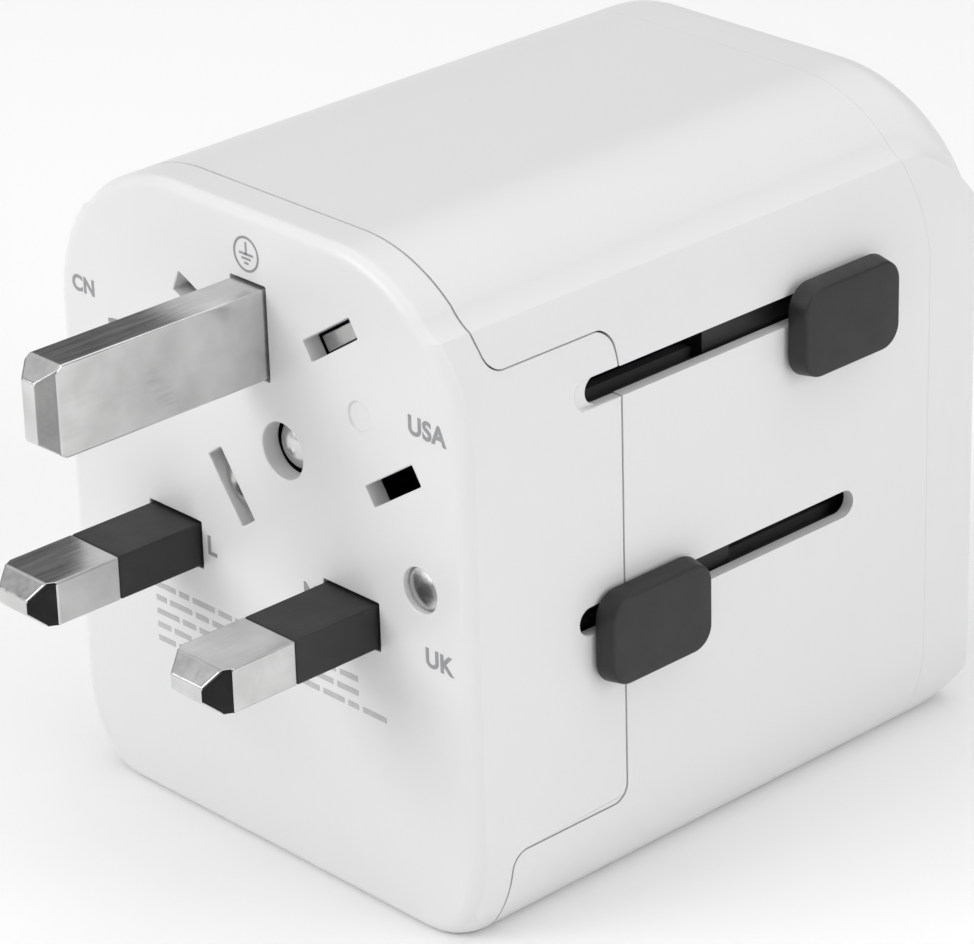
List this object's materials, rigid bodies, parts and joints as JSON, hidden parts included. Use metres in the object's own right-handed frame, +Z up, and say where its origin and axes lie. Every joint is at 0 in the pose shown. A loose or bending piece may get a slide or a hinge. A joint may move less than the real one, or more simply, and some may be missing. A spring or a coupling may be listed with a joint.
{
  "type": "universal travel adapter",
  "caption": "Block-shaped mains travel adapter with sliding UK, US, CN and EU plug sets, a shuttered rear socket and USB outlets.",
  "frame": {"origin": "centre of the flat underside", "axes": "+Z up, plug pins point to -Y, rear socket faces +Y, +X is the side of the UK and US sliders"},
  "size_m": [0.0556, 0.0849, 0.059],
  "materials": {
    "white_plastic": "satin",
    "black_plastic": "matte",
    "pin_metal": "bright nickel plate",
    "contact_brass": "bright",
    "steel": "plated",
    "board": "solder mask",
    "component": "tape",
    "can": "sleeve",
    "ceramic": "glazed",
    "lens": "clear"
  },
  "bodies": {
    "housing": {"front_cover": "white_plastic", "main_shell": "white_plastic", "rear_cover": "white_plastic", "socket_housing": "black_plastic", "screw_1": "steel", "screw_2": "steel", "screw_3": "steel", "screw_4": "steel", "live_busbar": "contact_brass", "neutral_busbar": "contact_brass", "earth_busbar": "contact_brass", "circuit_board": "board", "usb_port_1": "steel", "usb_port_2": "steel", "transformer": "component", "capacitor": "can", "fuse": "ceramic", "indicator_led": "lens", "shutter_spring": "steel", "uk_guide": "black_plastic", "us_guide": "black_plastic", "cn_guide": "black_plastic", "eu_guide": "black_plastic"},
    "shutter": {"shutter": "black_plastic"},
    "uk_set": {"uk_carriage": "black_plastic", "uk_link": "black_plastic", "uk_strip": "black_plastic", "uk_earth_pin": "pin_metal", "uk_live_pin": "pin_metal", "uk_neutral_pin": "pin_metal", "uk_live_sleeve": "black_plastic", "uk_neutral_sleeve": "black_plastic", "uk_knob": "black_plastic"},
    "us_set": {"us_carriage": "black_plastic", "us_strip": "black_plastic", "us_live_blade": "pin_metal", "us_neutral_blade": "pin_metal", "us_earth_pin": "pin_metal", "us_knob": "black_plastic"},
    "cn_set": {"cn_carriage": "black_plastic", "cn_strip": "black_plastic", "cn_live_blade": "pin_metal", "cn_neutral_blade": "pin_metal", "cn_earth_blade": "pin_metal", "cn_knob": "black_plastic"},
    "eu_set": {"eu_carriage": "black_plastic", "eu_strip": "black_plastic", "eu_pin_1": "pin_metal", "eu_pin_2": "pin_metal", "eu_knob": "black_plastic"}
  },
  "joints": [
    {"name": "uk_slide", "type": "slide", "parent": "housing", "child": "uk_set", "axis": [0, 1, 0], "range_m": [0, 0.0229]},
    {"name": "us_slide", "type": "slide", "parent": "housing", "child": "us_set", "axis": [0, -1, 0], "range_m": [0, 0.0229]},
    {"name": "cn_slide", "type": "slide", "parent": "housing", "child": "cn_set", "axis": [0, -1, 0], "range_m": [0, 0.0229]},
    {"name": "eu_slide", "type": "slide", "parent": "housing", "child": "eu_set", "axis": [0, -1, 0], "range_m": [0, 0.0229]},
    {"name": "shutter_slide", "type": "slide", "parent": "housing", "child": "shutter", "axis": [0, 0, -1], "range_m": [0, 0.0074], "stiffness_N_per_m": 150, "springref_m": -0.004, "deforming": ["shutter_spring"]}
  ]
}
